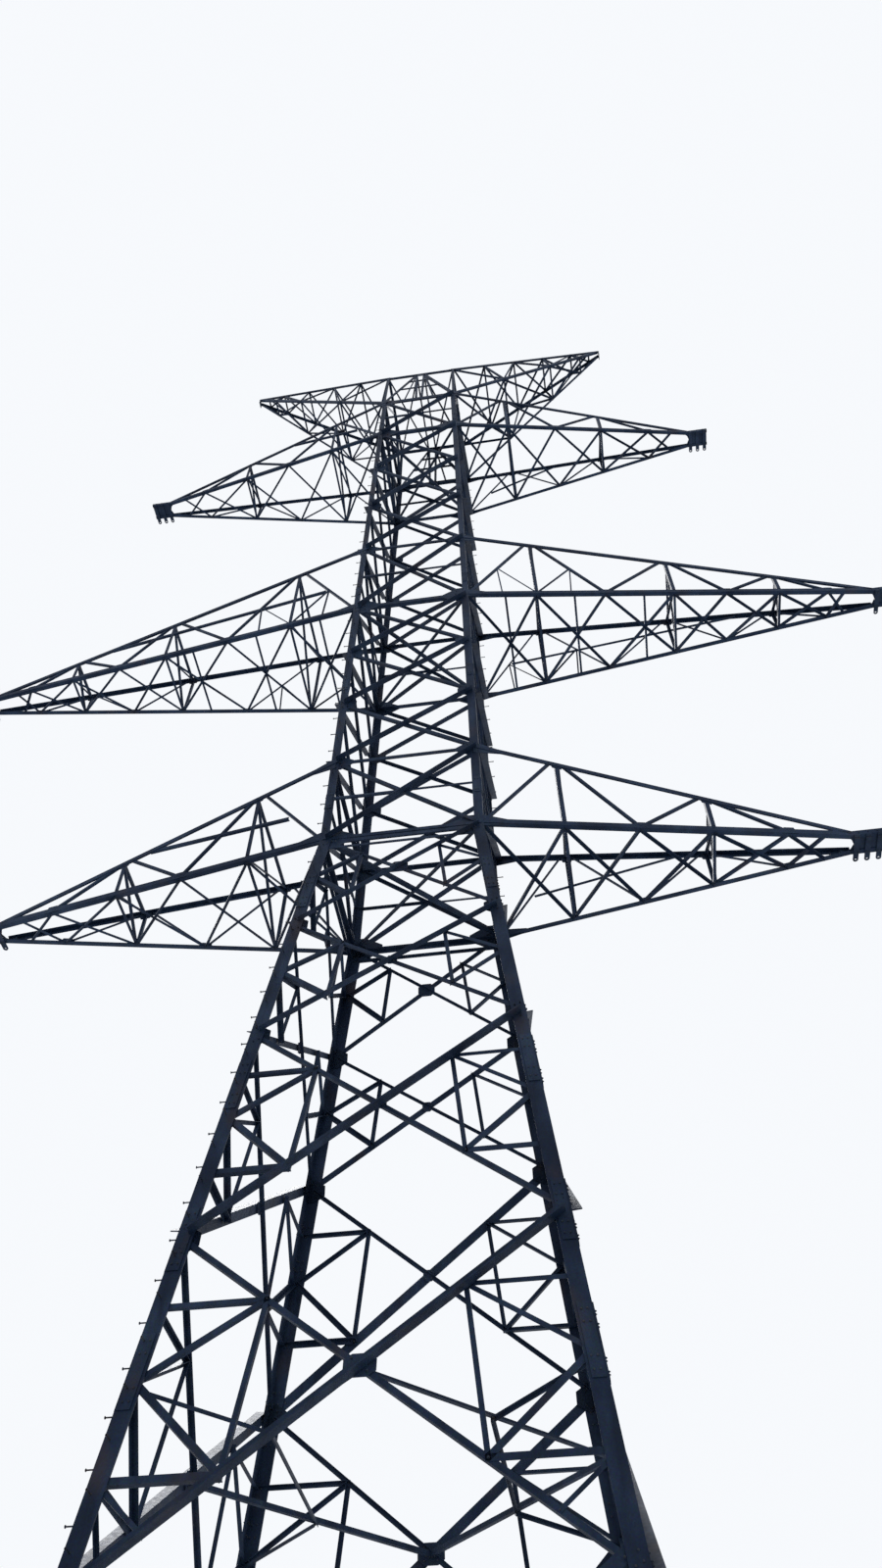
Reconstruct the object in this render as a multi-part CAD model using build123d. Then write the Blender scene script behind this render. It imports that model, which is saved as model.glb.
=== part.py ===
from build123d import *
import os

# A double-circuit lattice tower at half its real size, in millimetres.
# X runs along the crossarms, Y along the line and Z up, from ground level on the tower's axis.

# Body outline, over the outer faces of the leg angles
ground_half_width = 2340
waist_half_width = 1000
head_half_width = 765
peak_half_width = 745
peak_half_depth = 900

# Heights of the braced panels, from the ground up
base_panel = 3600
body_panels = (2750, 2350, 1700, 1600)
head_panels = (1560, 1330, 1320, 1330, 1960, 1640, 1630, 1630, 1700)
peak_height = 1720

# Leg angles, lighter at each stage, and the flat bars that brace them
leg_flange = 140
leg_thickness = 20
upper_leg_flange = 110
top_leg_flange = 90
head_leg_thickness = 8
head_gauge = 50
peak_flange = 60
peak_thickness = 6
brace_thickness = 12
brace_width = 64
head_brace_thickness = 8
head_brace_width = 52
strut_width = 76
tie_width = 36
corner_clearance = 3

# Gusset plates, where the struts meet the legs
waist_gusset_width, waist_gusset_height = 340, 360
head_gusset_width, head_gusset_height = 200, 220

# Crossarms: reach to the end of the taper, and the parallel nose beyond it
lower_reach = 5400
middle_reach = 7150
upper_reach = 5350
arm_nodes = (0.22, 0.425, 0.625, 0.83)
middle_arm_nodes = (0.17, 0.34, 0.51, 0.64, 0.77, 0.89)
nose_length = 380
nose_half_width = 160
chord_flange = 70
chord_thickness = 6
arm_brace_width = 36
root_overrun = 150

# Earthwire arms, which rise from the peak to narrow tips
earthwire_reach = 4100
earthwire_rise = 2140
earthwire_half_width = 70
earthwire_flange = 45
earthwire_thickness = 5
earthwire_brace_width = 26
earthwire_nodes = (0.2, 0.4, 0.6, 0.8)

# Hanger bars across the underside of each crossarm nose, and the plate on each earthwire tip
hanger_thickness = 16
hanger_width = 66
hanger_pitch = 138
hanger_first = 52
hanger_overhang = 112
hanger_hole_radius = 14
tip_plate_height = 200
tip_plate_thickness = 12
tip_hole_radius = 12

# Base plates and their anchor holes
plate_size = 460
plate_thickness = 30
bolt_spacing = 320
bolt_hole_radius = 18

waist = base_panel + sum(body_panels)
tied_top = base_panel + sum(body_panels[:2])
body_levels = [base_panel + sum(body_panels[:n]) for n in range(len(body_panels) + 1)]
head_levels = [waist + sum(head_panels[:n]) for n in range(len(head_panels) + 1)]
head_top = head_levels[-1]
peak_top = head_top + peak_height
# Each crossarm is held between two of the head's levels
lower_arm = head_levels[0], head_levels[1]
middle_arm = head_levels[4], head_levels[5]
upper_arm = head_levels[8], head_levels[9]

UP, DOWN, BACK = (0, 0, 1), (0, 0, -1), (0, 1, 0)


def linear(low, high, at_low, at_high):
    """A straight-line function of height."""
    return lambda z: at_low + (at_high - at_low) * (z - low) / (high - low)


body_half = linear(0, waist, ground_half_width, waist_half_width)
head_half = linear(waist, head_top, waist_half_width, head_half_width)
peak_half = linear(head_top, peak_top, head_half_width, peak_half_width)
peak_depth = linear(head_top, peak_top, waist_half_width, peak_half_depth)


def head_depth(z):
    """The head keeps one half depth along the line."""
    return waist_half_width

class Sheet:
    """A flat lattice: shapes drawn between points of one plane, given a thickness one way."""

    def __init__(self, a, b, c, way, thickness):
        a, b, c = Vector(*a), Vector(*b), Vector(*c)
        self.plane = Plane(origin=a, x_dir=b - a, z_dir=(b - a).cross(c - a))
        self.way, self.thickness = way, thickness

    def flat(self, point):
        local = self.plane.to_local_coords(Vector(*point))
        return local.X, local.Y

    def patch(self, *points):
        """A polygon between points of the plane, always wound the same way round."""
        flat = [self.flat(point) for point in points]
        turn = sum(ax * by - bx * ay for (ax, ay), (bx, by) in zip(flat, flat[1:] + flat[:1]))
        return Polygon(*(flat if turn > 0 else reversed(flat)), align=None)

    def bar(self, a, b, width):
        """A flat bar, centred on the line between two points."""
        a, b = Vector(*self.flat(a)), Vector(*self.flat(b))
        across = (b - a).normalized().rotate(Axis.Z, 90) * (width / 2)
        corners = (a + across, a - across, b - across, b + across)
        return Polygon(*[(corner.X, corner.Y) for corner in corners], align=None)

    def band(self, points, offset):
        """A flange along a line of points, laid off to one side of it by a vector."""
        offset = Vector(*offset)
        return self.patch(*points, *[Vector(*point) + offset for point in reversed(points)])

    def solid(self, shapes, window=None):
        flat = Sketch() + shapes
        if window:
            flat = flat & window
        return extrude(self.plane * flat, amount=self.thickness, dir=self.way)


class Side:
    """The near side of a stretch of the body, from its half width and its distance from the axis."""

    def __init__(self, low, high, half, reach):
        self.low, self.high, self.half, self.reach = low, high, half, reach

    def point(self, x, z, inset=0):
        return x, inset - self.reach(z), z

    def sheet(self, inset, thickness):
        corners = (0, self.low), (1, self.low), (0, self.high)
        return Sheet(*[self.point(x, z, inset) for x, z in corners], BACK, thickness)

    def flange(self, width, thickness, hand):
        """One flange of the corner leg at that hand."""
        corners = [(self.half(self.low) - width, self.low), (self.half(self.low), self.low)]
        corners += [(self.half(self.high), self.high), (self.half(self.high) - width, self.high)]
        sheet = self.sheet(0, thickness)
        return sheet.solid([sheet.patch(*[self.point(hand * x, z) for x, z in corners])])


class Lattice:
    """The bracing of a side, which lies against the inner faces of its legs' flanges."""

    def __init__(self, side, gauge, leg_wall, thickness):
        self.side, self.gauge, self.inset = side, gauge, leg_wall
        self.sheet = side.sheet(leg_wall, thickness)
        self.trim = leg_wall + thickness + corner_clearance
        self.shapes = []

    def node(self, hand, z):
        """A point on the line of bolts in a leg's flange."""
        return hand * (self.side.half(z) - self.gauge), z

    def point(self, x, z):
        return self.side.point(x, z, self.inset)

    def bar(self, a, b, width):
        self.shapes.append(self.sheet.bar(self.point(*a), self.point(*b), width))

    def patch(self, *points):
        self.shapes.append(self.sheet.patch(*[self.point(*point) for point in points]))

    def cross(self, low, high, width):
        for hand in (-1, 1):
            self.bar(self.node(hand, low), self.node(-hand, high), width)

    def crossing(self, low, high):
        """The height at which a panel's diagonals cross."""
        a, b = self.node(1, low)[0], self.node(1, high)[0]
        return low + (high - low) * a / (a + b)

    def strut(self, z, width, hand=1):
        """A level strut from leg to leg, above or below a level."""
        edge = z + hand * width
        low, high = self.side.half(z), self.side.half(edge)
        self.patch((-low, z), (low, z), (high, edge), (-high, edge))

    def gussets(self, z, strut, width, height, hand=1):
        """A plate at each end of a strut, which tapers from the leg to the strut's own depth."""
        bottom, top = z + hand * (strut - height) / 2, z + hand * (strut + height) / 2
        for side in (-1, 1):
            inner = side * (self.side.half(z) - width)
            leg = (side * self.side.half(bottom), bottom), (side * self.side.half(top), top)
            self.patch(*leg, (inner, z + hand * strut), (inner, z))

    def solid(self, low, high, left=-1, right=1):
        """The bars, cut off inside the corner legs; left and right are shares of the half width."""
        corners = [(left, low), (right, low), (right, high), (left, high)]
        points = [(share * (self.side.half(z) - self.trim), z) for share, z in corners]
        return self.sheet.solid(self.shapes, self.sheet.patch(*[self.point(*point) for point in points]))


def turned(shape, quarter):
    return shape.rotate(Axis.Z, 90 * quarter)


def corner_leg(near, right, width, thickness):
    """The near right leg angle: one flange in each of the two sides that meet there."""
    return near.flange(width, thickness, 1) + turned(right.flange(width, thickness, -1), 1)


def head_leg(low, high, width):
    near = Side(low, high, head_half, head_depth)
    right = Side(low, high, head_depth, head_half)
    return corner_leg(near, right, width, head_leg_thickness)


def body_bracing(side):
    """The crossed bracing of one side between the base panel and the waist."""
    lattice = Lattice(side, leg_flange / 2, leg_thickness, brace_thickness)
    for low, high in zip(body_levels, body_levels[1:]):
        lattice.cross(low, high, brace_width)
        middle = lattice.crossing(low, high)
        if high > tied_top:
            continue
        for hand in (-1, 1):
            for end in (low, high):
                x, z = lattice.node(hand, end)
                lattice.bar((x / 2, (middle + z) / 2), lattice.node(hand, middle), tie_width)
    lattice.strut(base_panel, strut_width)
    lattice.gussets(base_panel, strut_width, waist_gusset_width, waist_gusset_height)
    lattice.strut(waist, strut_width, -1)
    lattice.gussets(waist, strut_width, waist_gusset_width, waist_gusset_height, -1)
    return lattice.solid(base_panel, waist)


def base_bracing(side, hand):
    """Half of the inverted V under the body: from the foot of one leg to the middle of the strut."""
    lattice = Lattice(side, leg_flange / 2, leg_thickness, brace_thickness)
    foot = plate_thickness + leg_flange
    toe = lattice.node(hand, foot)
    lattice.bar(toe, (0, base_panel), brace_width)
    for share, above in ((1 / 3, 2 / 3), (2 / 3, 1)):
        rise = share * (base_panel - foot)
        on_brace = toe[0] * (1 - share), foot + rise
        lattice.bar(on_brace, (hand * side.half(foot + rise), foot + rise), tie_width)
        lattice.bar(on_brace, lattice.node(hand, foot + above * (base_panel - foot) - tie_width), tie_width)
    return lattice.solid(plate_thickness, base_panel, min(hand, 0), max(hand, 0))


def head_bracing(side):
    """The crossed bracing of one side of the head, with struts and gussets where the arms join."""
    lattice = Lattice(side, head_gauge, head_leg_thickness, head_brace_thickness)
    for low, high in zip(head_levels, head_levels[1:]):
        lattice.cross(low, high, head_brace_width)
    for bottom, top in (lower_arm, middle_arm, upper_arm):
        lattice.strut(bottom, strut_width)
        lattice.gussets(bottom, strut_width, head_gusset_width, head_gusset_height)
        lattice.strut(top, tie_width, -1)
    return lattice.solid(waist, head_top)


def diaphragm(level):
    """A level frame of crossed bars that holds the head square, inside the bracing."""
    inset = head_leg_thickness + head_brace_thickness
    x, y = head_half(level + head_brace_thickness) - inset, head_depth(level) - inset
    rim = Rectangle(2 * x, 2 * y) - Rectangle(2 * (x - tie_width), 2 * (y - tie_width))
    x, y = x - tie_width / 2, y - tie_width / 2
    floor = Sheet((0, 0, level), (1, 0, level), (0, 1, level), UP, head_brace_thickness)
    crossed = [floor.bar((-hand * x, -y, level), (hand * x, y, level), tie_width) for hand in (-1, 1)]
    return floor.solid([rim, *crossed])


def peak_side(side):
    """One side of the peak: light corner flanges, rails and an inverted V."""
    sheet = side.sheet(0, peak_thickness)
    bars = []
    for z in (side.low, side.high - peak_flange):
        corners = [(-1, z), (1, z), (1, z + peak_flange), (-1, z + peak_flange)]
        bars.append(sheet.patch(*[side.point(hand * side.half(z), z) for hand, z in corners]))
    foot, head = side.low + peak_flange / 2, side.high - peak_flange / 2
    corner = side.half(foot) - peak_flange / 2
    for hand in (-1, 1):
        bars.append(sheet.bar(side.point(hand * corner, foot), side.point(0, head), arm_brace_width))
        edge = [side.point(hand * side.half(z), z) for z in (side.low, side.high)]
        bars.append(sheet.band(edge, (-hand * peak_flange, 0, 0)))
    return sheet.solid(bars)


def peak():
    """The four-sided frame above the head that carries both earthwire arms."""
    near = peak_side(Side(head_top, peak_top, peak_half, peak_depth))
    right = turned(peak_side(Side(head_top, peak_top, peak_depth, peak_half)), 1)
    return near + [near.mirror(Plane.XZ), right, right.mirror(Plane.YZ)]


class Arm:
    """A right-hand arm of four chords, near and far, low and high, that taper to a tip."""

    def __init__(self, low_root, high_root, low_tip, nodes, flange, thickness, brace_width):
        self.low_root, self.high_root, self.low_tip = low_root, high_root, low_tip
        run, rise = low_tip - low_root, high_root - low_root
        upright = rise - run * (rise.X / run.X)
        self.up = upright * (flange / upright.Z)
        self.high_tip = low_tip + self.up
        self.back = -root_overrun / run.X
        self.shares = (0, *nodes, 1)
        self.flange, self.thickness, self.brace_width = flange, thickness, brace_width

    def low(self, share):
        return self.low_root + (self.low_tip - self.low_root) * share

    def high(self, share):
        return self.high_root + (self.high_tip - self.high_root) * share

    def across(self, point, hand, inset):
        """A point moved into its flange, on the near side or mirrored to the far one."""
        return Vector(point.X, hand * (-point.Y - inset), point.Z)

    def level_frame(self, chord, way, braced=False, nose=0):
        """The floor or the roof: two chord flanges, struts at every second node and a zigzag if braced."""
        line = [chord(self.back), chord(1)]
        if nose:
            line.append(chord(1) + Vector(nose, 0, 0))
        sheet = Sheet(line[0], line[1], self.across(line[0], 1, 0), way, self.thickness)
        bars = []
        for hand in (-1, 1):
            edge = [self.across(point, hand, 0) for point in line]
            bars.append(sheet.band(edge, (0, -hand * self.flange, 0)))
        half = self.flange / 2
        for bay, (a, b) in enumerate(zip(self.shares, self.shares[1:])):
            hand = (-1) ** bay
            start = self.across(chord(a), hand, half)
            side, other = [self.across(chord(b), end, half) for end in (hand, -hand)]
            if braced:
                bars.append(sheet.bar(start, other, self.brace_width))
            if hand > 0:
                bars.append(sheet.bar(side, other, self.brace_width))
        if nose:
            end = line[-1] - Vector(half, 0, 0)
            bars.append(sheet.bar(self.across(end, -1, half), self.across(end, 1, half), self.flange))
        return sheet.solid(bars)

    def side_frame(self, nose):
        """The near side: two chord flanges and a zigzag web with an upright at every second node."""
        sheet = Sheet(self.low_root, self.low_tip, self.high_root, BACK, self.thickness)
        shapes = [
            sheet.band([self.low(self.back), self.low(1)], self.up),
            sheet.band([self.high(self.back), self.high(1)], -self.up),
        ]
        half = self.up * 0.5
        for bay, (a, b) in enumerate(zip(self.shares, self.shares[1:-1])):
            if bay % 2:
                shapes.append(sheet.bar(self.high(a) - half, self.low(b) + half, self.brace_width))
            else:
                shapes.append(sheet.bar(self.low(a) + half, self.high(b) - half, self.brace_width))
                shapes.append(sheet.bar(self.low(b) + half, self.high(b) - half, self.brace_width))
        frame = sheet.solid(shapes)
        if nose:
            tip, end = self.low_tip, self.low_tip + Vector(nose, 0, 0)
            beyond = Sheet(tip, end, tip + Vector(0, 0, 1), BACK, self.thickness)
            frame = frame + beyond.solid([beyond.band([tip, end], self.up)])
        return frame

    def solid(self, nose=0):
        near = self.side_frame(nose)
        roof = self.level_frame(self.high, DOWN)
        return self.level_frame(self.low, UP, True, nose) + [near, near.mirror(Plane.XZ), roof]


def body_envelope(low, high):
    """The space inside the outer faces of the head and the peak, wider than the arms."""
    halves = [(head_half, waist), (head_half, head_top), (peak_half, peak_top)]
    outline = [(half(z), z) for half, z in halves]
    below, above = (body_half(low), low), (peak_half_width, high)
    points = [(0, low), below, *outline, above, (0, high)]
    return extrude(Plane.XZ * Polygon(*points, align=None), amount=3 * waist_half_width, both=True)


def crossarm(levels, reach, nodes):
    """A right-hand crossarm, with a level floor and a parallel nose."""
    bottom, top = levels
    root = Vector(head_half(bottom), -waist_half_width, bottom)
    tip = Vector(reach, -nose_half_width, bottom)
    back = (head_half(top) - root.X) / (tip.X - root.X)
    high_root = root + (tip - root) * back + Vector(0, 0, top - bottom)
    arm = Arm(root, high_root, tip, nodes, chord_flange, chord_thickness, arm_brace_width)
    return arm.solid(nose_length)


def earthwire_arm():
    """A right-hand earthwire arm, whose four chords meet the peak's corners."""
    tip = Vector(earthwire_reach, -earthwire_half_width, peak_top + earthwire_rise - earthwire_flange)
    low_root = Vector(head_half_width, -waist_half_width, head_top)
    high_root = Vector(peak_half_width, -peak_half_depth, peak_top)
    sizes = earthwire_nodes, earthwire_flange, earthwire_thickness, earthwire_brace_width
    beyond = Pos(earthwire_reach, 0, peak_top + earthwire_rise) * Box(
        waist_half_width, waist_half_width, peak_height, align=(Align.MIN, Align.CENTER, Align.CENTER)
    )
    return Arm(low_root, high_root, tip, *sizes).solid() - beyond


def hanger_bars(levels, reach):
    """Three level bars across the underside of a nose, each with a holed lug beyond the far chord."""
    half, corner = hanger_width / 2, hanger_width * 0.3
    lug = nose_half_width + hanger_overhang - half
    bar = Rectangle(hanger_width, nose_half_width + lug + half, align=(Align.CENTER, Align.MIN))
    outline = Pos(0, -nose_half_width) * chamfer(bar.vertices().sort_by(Axis.Y)[-2:], corner)
    plain_hole = RegularPolygon(hanger_hole_radius, 6, major_radius=False)
    # The hole of the middle bar is round, and the others have few faces
    bars = []
    for n, hole in enumerate((plain_hole, Circle(hanger_hole_radius), plain_hole)):
        place = Pos(reach + hanger_first + n * hanger_pitch, 0, levels[0])
        bars.append(place * extrude(outline - Pos(0, lug) * hole, amount=-hanger_thickness))
    return bars


def tip_plate():
    """The upright plate on the end of an earthwire arm, with the hole that takes the wire's shackle."""
    top = peak_top + earthwire_rise
    outline = Pos(0, -tip_plate_height / 2) * Rectangle(2 * earthwire_half_width, tip_plate_height)
    hole = Pos(0, -tip_plate_height + 3 * tip_hole_radius) * Circle(tip_hole_radius)
    plane = Plane(origin=(earthwire_reach, 0, top), x_dir=(0, 1, 0), z_dir=(1, 0, 0))
    return extrude(plane * (outline - hole), amount=tip_plate_thickness)


def base_plate():
    """The near right base plate, centred under its leg angle, with four anchor holes."""
    centre = ground_half_width - leg_flange / 2
    holes = GridLocations(bolt_spacing, bolt_spacing, 2, 2) * Circle(bolt_hole_radius)
    plate = Rectangle(plate_size, plate_size) - holes
    return extrude(Pos(centre, -centre, 0) * plate, amount=plate_thickness)


pieces = {}


def mirrored(solids, *planes):
    for plane in planes:
        solids = [solid.mirror(plane) for solid in solids]
    return solids


def at_corners(name, *solids):
    """Four copies of a near right piece, mirrored as the real ones are."""
    pieces[f"{name}_near_right"] = solids
    pieces[f"{name}_near_left"] = mirrored(solids, Plane.YZ)
    pieces[f"{name}_far_right"] = mirrored(solids, Plane.XZ)
    pieces[f"{name}_far_left"] = mirrored(solids, Plane.YZ, Plane.XZ)


def both_ends(name, *solids):
    pieces[f"{name}_right"] = solids
    pieces[f"{name}_left"] = mirrored(solids, Plane.YZ)


def build():
    plates = [base_plate()]
    plates += mirrored(plates, Plane.YZ)
    pieces["base_plates"] = plates + mirrored(plates, Plane.XZ)
    body_side = Side(plate_thickness, waist, body_half, body_half)
    at_corners("lower_leg", corner_leg(body_side, body_side, leg_flange, leg_thickness))
    at_corners("upper_leg", head_leg(waist, middle_arm[0], upper_leg_flange))
    at_corners("top_leg", head_leg(middle_arm[0], head_top, top_leg_flange))
    at_corners("base_bracing", base_bracing(body_side, 1), turned(base_bracing(body_side, -1), 1))
    near = body_bracing(body_side)
    for quarter, name in enumerate(("near", "right", "far", "left")):
        pieces[f"body_bracing_{name}"] = [turned(near, quarter)]
    near = head_bracing(Side(waist, head_top, head_half, head_depth))
    pieces["head_bracing_near"] = [near]
    pieces["head_bracing_far"] = mirrored([near], Plane.XZ)
    both_ends("head_bracing", turned(head_bracing(Side(waist, head_top, head_depth, head_half)), 1))
    arms = {
        "lower": (lower_arm, lower_reach, arm_nodes),
        "middle": (middle_arm, middle_reach, middle_arm_nodes),
        "upper": (upper_arm, upper_reach, arm_nodes),
    }
    envelope = body_envelope(base_panel, peak_top + earthwire_rise)
    for name, (levels, reach, nodes) in arms.items():
        pieces[f"{name}_diaphragm"] = [diaphragm(levels[0])]
        both_ends(f"{name}_crossarm", crossarm(levels, reach, nodes) - envelope)
        bars = hanger_bars(levels, reach)
        pieces[f"{name}_hangers"] = bars + mirrored(bars, Plane.YZ)
    pieces["earthwire_peak"] = [peak()]
    both_ends("earthwire_arm", earthwire_arm() - envelope)
    pieces["earthwire_tip_plates"] = [tip_plate(), *mirrored([tip_plate()], Plane.YZ)]


build()
os.makedirs("parts", exist_ok=True)
for name, solids in pieces.items():
    shape = solids[0] if len(solids) == 1 else Compound(children=list(solids))
    shape.label = name
    export_step(shape, f"parts/{name}.step")
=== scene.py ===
"""Looks of a double-circuit lattice tower at half its real size, in metres."""

import math

import bmesh
import bpy
from mathutils import Matrix, Vector


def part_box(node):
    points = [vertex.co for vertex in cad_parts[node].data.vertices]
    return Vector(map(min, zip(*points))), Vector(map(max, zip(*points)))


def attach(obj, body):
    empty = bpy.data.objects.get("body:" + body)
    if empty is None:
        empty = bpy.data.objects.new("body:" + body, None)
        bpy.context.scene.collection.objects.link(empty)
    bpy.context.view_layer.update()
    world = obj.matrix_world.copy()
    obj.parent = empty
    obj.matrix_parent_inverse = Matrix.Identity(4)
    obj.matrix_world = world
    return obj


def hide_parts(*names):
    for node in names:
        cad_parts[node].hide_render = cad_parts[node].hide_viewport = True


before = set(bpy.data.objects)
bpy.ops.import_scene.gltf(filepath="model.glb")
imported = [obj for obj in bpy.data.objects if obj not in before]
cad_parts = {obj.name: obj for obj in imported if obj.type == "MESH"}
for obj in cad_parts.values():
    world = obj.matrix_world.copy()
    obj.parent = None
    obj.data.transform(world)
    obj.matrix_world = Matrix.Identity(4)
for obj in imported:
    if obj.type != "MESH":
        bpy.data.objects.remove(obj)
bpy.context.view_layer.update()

# Sizes

# Heights and half widths, read from the solids where they show them
LEG_FOOT, WAIST = (corner.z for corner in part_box("lower_leg_near_right"))
HEAD_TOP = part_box("top_leg_near_right")[1].z
PEAK_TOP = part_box("earthwire_peak")[1].z
HORN_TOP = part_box("earthwire_tip_plates")[1].z
BASE_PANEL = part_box("body_bracing_near")[0].z
GROUND_HALF, WAIST_HALF = 2.34, 1.0
HEAD_HALF, PEAK_HALF, PEAK_DEPTH = 0.765, 0.745, 0.90

# Heights of the crossed panels, from the lowest
BODY_PANELS = (2.75, 2.35, 1.70, 1.60)
HEAD_PANELS = (1.56, 1.33, 1.32, 1.33, 1.96, 1.64, 1.63, 1.63, 1.70)

# Legs, and the distance from a leg's corner to its line of bolts
LEG_FLANGE, LEG_WALL, HEAD_WALL = 0.14, 0.020, 0.008
BODY_GAUGE, HEAD_GAUGE = LEG_FLANGE / 2, 0.050

# Flanges of the rolled angles, and their wall as a share of the flange
WALL_SHARE = 0.11
BRACE, HIP_BRACE = 0.070, 0.042
HEAD_BRACE, HEAD_INNER_BRACE = 0.084, 0.044
STRUT, HEAD_STRUT, LIGHT_STRUT, TIE = 0.060, 0.068, 0.053, 0.034
LIGHT_TIE, STOUT_TIE = 0.041, 0.054
CHORD, TOP_CHORD, UPPER_ARM_SHARE = 0.070, 0.062, 0.86
WEB_BRACE, WEB_POST, WEB_TIE = 0.036, 0.054, 0.022
FLOOR_BRACE, RAIL = 0.038, 0.040
HORN_CHORD, HORN_BRACE = 0.052, 0.038
PEAK_FLANGE, PEAK_BRACE = 0.054, 0.052

# Flanges of the outer and the inner diagonal in each body panel, from the lowest
BODY_BRACES = ((0.093, 0.046), (0.096, 0.040), (0.070, 0.031), (0.060, 0.030))

# The rise of a diagonal's foot over its level, and how far thin ties sink and lap where they meet other bars
BODY_FOOT_RISE, HEAD_FOOT_RISE = 0.07, 0.03
BODY_TIE_SUNK, HEAD_TIE_SUNK, TIE_LAP = 0.004, 0.003, 0.02

# Plates: thickness, gap under a plate, and the distance of its edge from a leg's corner
PLATE, CLEARANCE, EDGE = 0.008, 0.001, 0.012

# Bolts: radius, and shares of a flange for the largest radius, the first place from an end and the pitch
BOLT, BOLT_SHARE, FIRST_BOLT, BOLT_PITCH = 0.0085, 0.22, 0.45, 0.85

# Gussets on the legs: width, height and height of the tail, which at a strut is a share of its flange
PANEL_GUSSET, BASE_GUSSET = (0.20, 0.26, 0.12), (0.20, 0.30, 0.14)
WAIST_GUSSET, HEAD_GUSSET = (0.42, 0.36, 0.10), (0.24, 0.24, 0.12)
STRUT_GUSSET, HEAD_STRUT_GUSSET, LIGHT_STRUT_GUSSET = (0.34, 0.36), (0.40, 0.38), (0.30, 0.28)
STRUT_TAIL_SHARE = 1.2

# A gusset's shoulder and bolts as shares of its size, and the bolts' inset
GUSSET_SHOULDER, GUSSET_BOLT_INSET = 0.45, 0.02
GUSSET_BOLTS = ((0.16, 0.36), (0.16, -0.36), (0.42, 0.26), (0.42, -0.26))

# Plates where diagonals cross: half sizes from the lowest panel, depth, and corners and bolts as shares
CROSSING_PLATES = ((0.125, 0.090), (0.060, 0.060), (0.060, 0.060), (0.105, 0.090))
CROSSING_DEPTH = 0.006
CROSSING_CORNERS = ((1, 0.5), (0.5, 1), (-0.5, 1), (-1, 0.5), (-1, -0.5), (-0.5, -1), (0.5, -1), (1, -0.5))
CROSSING_BOLTS = ((0.5, 0.6), (-0.5, -0.6), (0.5, -0.6), (-0.5, 0.6))

# The rise of the waist's gussets and the drop of its tie, and of the thin tie in the body's lowest panel
WAIST_GUSSET_RISE, WAIST_TIE_DROP, LOW_TIE_DROP = 0.03, 0.16, 0.03

# Crossarms: nodes and the last crossing as shares of a chord, and the gap between web bars at a top node
SHORT_ARM_NODES = (0.22, 0.425, 0.625, 0.83)
MIDDLE_ARM_NODES = (0.17, 0.34, 0.51, 0.64, 0.77, 0.89)
LAST_CROSSED, WEB_GAP, WEB_LAP = 0.93, 0.10, 0.01
# The share of a chord that runs on between the legs, and length and half width of the parallel nose
CHORD_OVERRUN, NOSE, NOSE_HALF = 0.02, 0.38, 0.16
# How many parts of the middle crossarms have finer web bars, and thin bars through the floor's crossings
FINER_PARTS, THIN_PARTS = 2, 3

# Earthwire arms: reach, tip, nodes on the top and low chords, and the top nodes that each low one reaches
HORN_REACH, HORN_TIP_HALF = 4.10, 0.07
HORN_HEADS = (0.2, 0.4, 0.6, 0.8, 0.93)
HORN_FEET = (0.32, 0.64, 0.86)
HORN_FANS = ((0, 0.2, 0.4), (0.4, 0.6, 0.8), (0.8, 0.93))

UP = Vector((0, 0, 1))
SQUARE = ((-1, -1), (1, -1), (1, 1), (-1, 1))


def levels_from(start, panels):
    """The levels at which stacked panels start, and the top of the last."""
    levels = [start]
    for panel in panels:
        levels.append(levels[-1] + panel)
    return levels


BODY_LEVELS = levels_from(BASE_PANEL, BODY_PANELS)
HEAD_LEVELS = levels_from(WAIST, HEAD_PANELS)
# Crossarms: levels of the chords, reach of the taper, nodes, and the share of the top chord at the rail's end
ARMS = {
    "lower": (HEAD_LEVELS[0], HEAD_LEVELS[1], 5.40, SHORT_ARM_NODES, 0.55),
    "middle": (HEAD_LEVELS[4], HEAD_LEVELS[5], 7.15, MIDDLE_ARM_NODES, 0.68),
    "upper": (HEAD_LEVELS[8], HEAD_LEVELS[9], 5.35, SHORT_ARM_NODES, 0.42),
}


def between(low, high, at_low, at_high):
    """A size that changes evenly between two heights."""
    return lambda z: at_low + (at_high - at_low) * (z - low) / (high - low)


body_half = between(0, WAIST, GROUND_HALF, WAIST_HALF)
head_half = between(WAIST, HEAD_TOP, WAIST_HALF, HEAD_HALF)
peak_half = between(HEAD_TOP, PEAK_TOP, HEAD_HALF, PEAK_HALF)
head_depth = between(WAIST, HEAD_TOP, WAIST_HALF, WAIST_HALF)
peak_depth = between(HEAD_TOP, PEAK_TOP, WAIST_HALF, PEAK_DEPTH)

# Objects and nodes


def placed(name, data):
    """A new object, put in the scene."""
    item = bpy.data.objects.new(name, data)
    bpy.context.collection.objects.link(item)
    return item


def put(node, values):
    """Sets a node's inputs by name."""
    for label, value in values.items():
        node.inputs[label].default_value = value


# Materials

BLACK, BROWN = (0, 0, 0, 1), (0.050, 0.032, 0.024, 1)
# How dark the streaks are against the darker grey, and how strong and fine the spangle is
STREAK_SHADE, SPANGLE, SPANGLE_SCALE = 0.55, 0.22, 90
SMOOTHEST, ROUGHEST, BUMP, BUMP_HEIGHT = 0.42, 0.68, 0.25, 0.002
METALLIC, SPECULAR = 0.20, 0.12


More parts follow.
